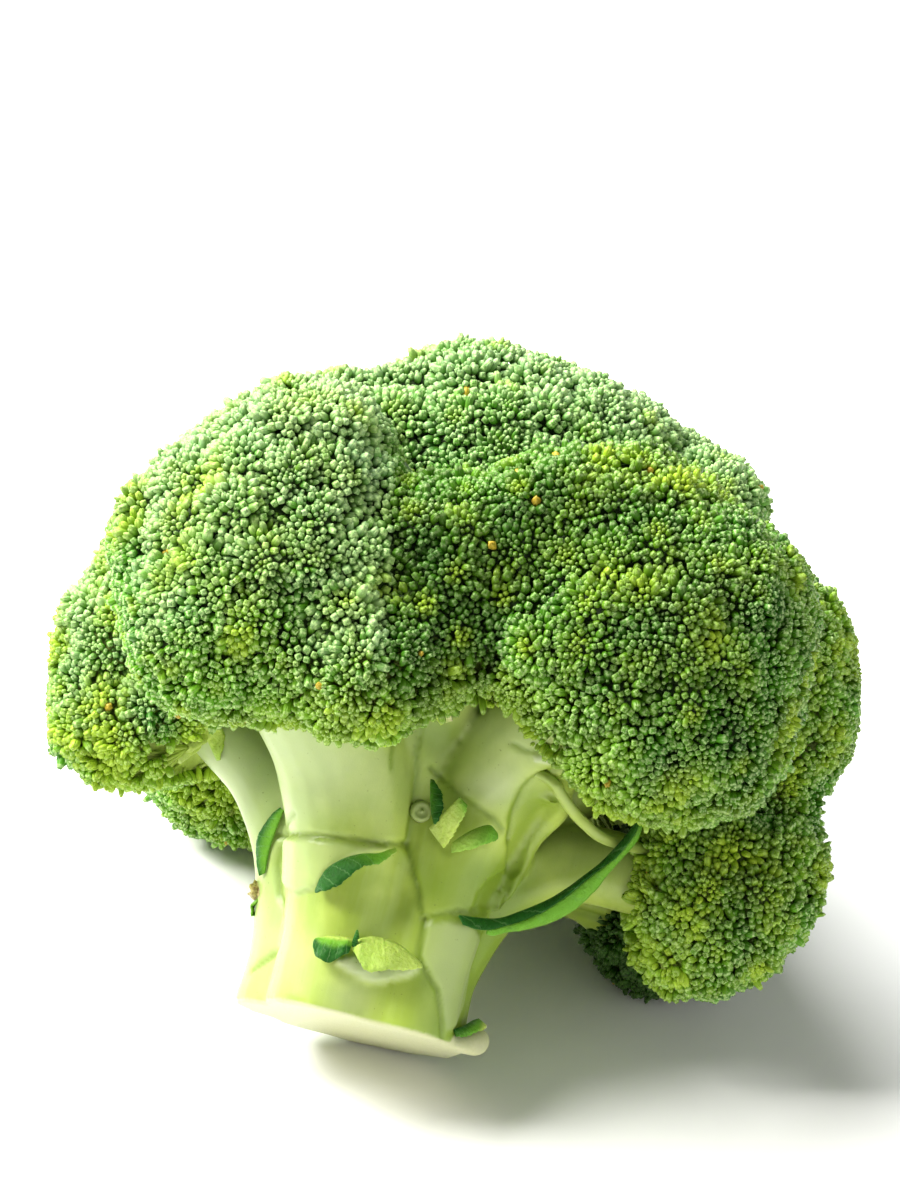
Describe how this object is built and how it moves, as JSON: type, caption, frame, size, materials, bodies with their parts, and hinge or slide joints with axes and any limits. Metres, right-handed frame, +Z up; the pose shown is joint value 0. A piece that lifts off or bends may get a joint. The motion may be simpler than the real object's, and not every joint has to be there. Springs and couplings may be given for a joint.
{
  "type": "broccoli head",
  "caption": "Fresh broccoli head with a domed crown of tight green florets on a pale branching cut stalk, lying on its back florets; a vegetable for kitchen and food scenes.",
  "frame": {"origin": "on the table under the centre of the bounding box", "axes": "+Z up from the table on which the head lies; -Y towards the side that the picture shows, where the cut end of the stalk is; +X across the crown, its longest extent"},
  "size_m": [0.1678, 0.1412, 0.1451],
  "materials": {
    "stalk_green": "smooth waxy skin of a fresh stalk",
    "bud_green": "soft waxy bloom over closed buds",
    "leaf_green": "satin leaf"
  },
  "bodies": {
    "root": {"stalk": "stalk_green", "floret_front_left": "bud_green", "floret_front_middle": "bud_green", "floret_front_right": "bud_green", "floret_left": "bud_green", "floret_left_upper": "bud_green", "floret_left_back": "bud_green", "floret_right": "bud_green", "floret_right_low": "bud_green", "floret_right_under": "bud_green", "floret_right_upper": "bud_green", "floret_top": "bud_green", "floret_back_upper": "bud_green", "floret_back_left": "bud_green", "floret_back_right": "bud_green", "floret_back": "bud_green", "leaf_long": "leaf_green", "leaf_front": "leaf_green", "leaf_low": "leaf_green", "leaf_forked": "leaf_green", "leaf_left": "leaf_green"}
  },
  "joints": []
}
